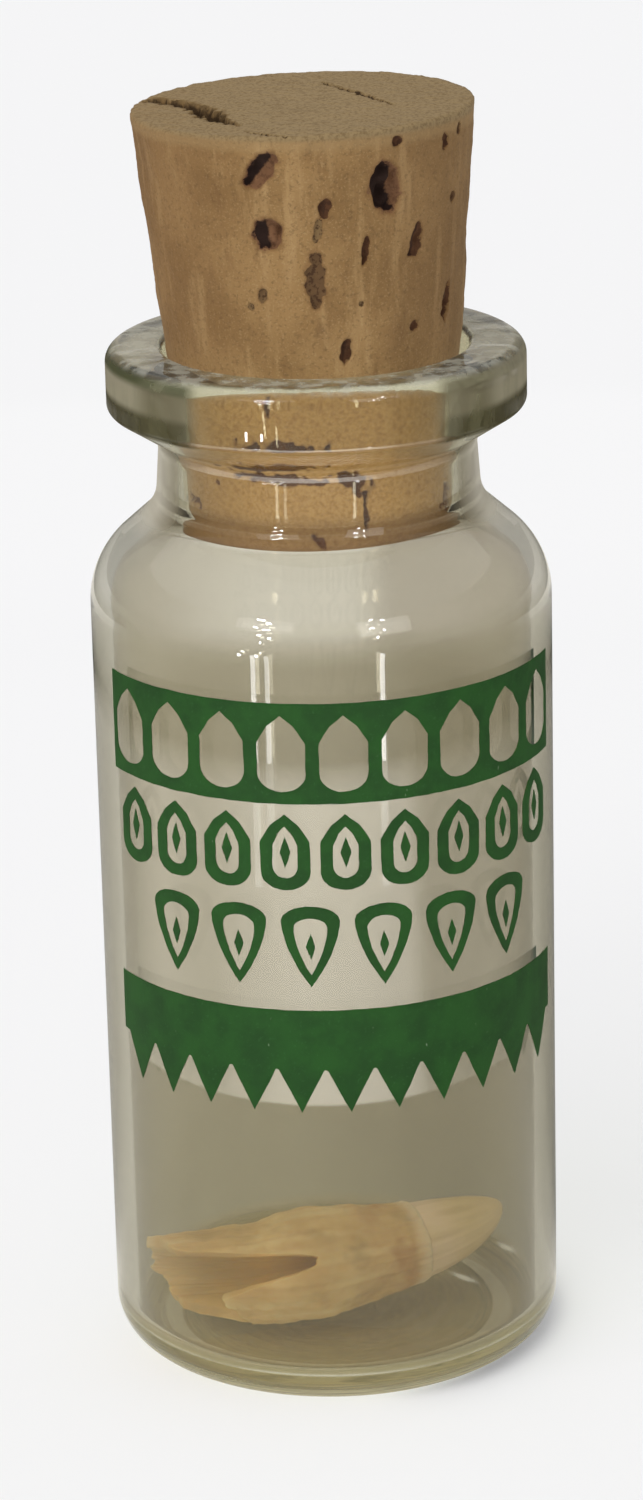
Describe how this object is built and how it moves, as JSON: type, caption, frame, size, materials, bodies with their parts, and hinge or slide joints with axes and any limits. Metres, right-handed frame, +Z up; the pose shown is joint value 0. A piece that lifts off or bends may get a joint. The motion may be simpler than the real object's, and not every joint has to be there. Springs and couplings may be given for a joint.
{
  "type": "alligator tooth in bottle",
  "caption": "Corked clear glass bottle with a hollow-rooted alligator tooth lying across its floor, kept as a souvenir.",
  "frame": {"origin": "centre of the bottle's foot ring, on the surface that it stands on", "axes": "+Z up the bottle's axis, -Y to the front, +X to the right seen from the front; the tooth's open root points to -X"},
  "size_m": [0.022, 0.022, 0.0616],
  "materials": {
    "soda_lime_glass": "clear pressed soda-lime glass with a faint green cast",
    "natural_cork": "natural bark cork, sanded, with open lenticels",
    "root_cementum": "dry cementum and dentine, matt cream to ochre",
    "crown_enamel": "dry enamel, satin"
  },
  "bodies": {
    "root": {"bottle_glass": "soda_lime_glass", "cork_stopper": "natural_cork", "tooth_root": "root_cementum", "tooth_crown": "crown_enamel"}
  },
  "joints": []
}
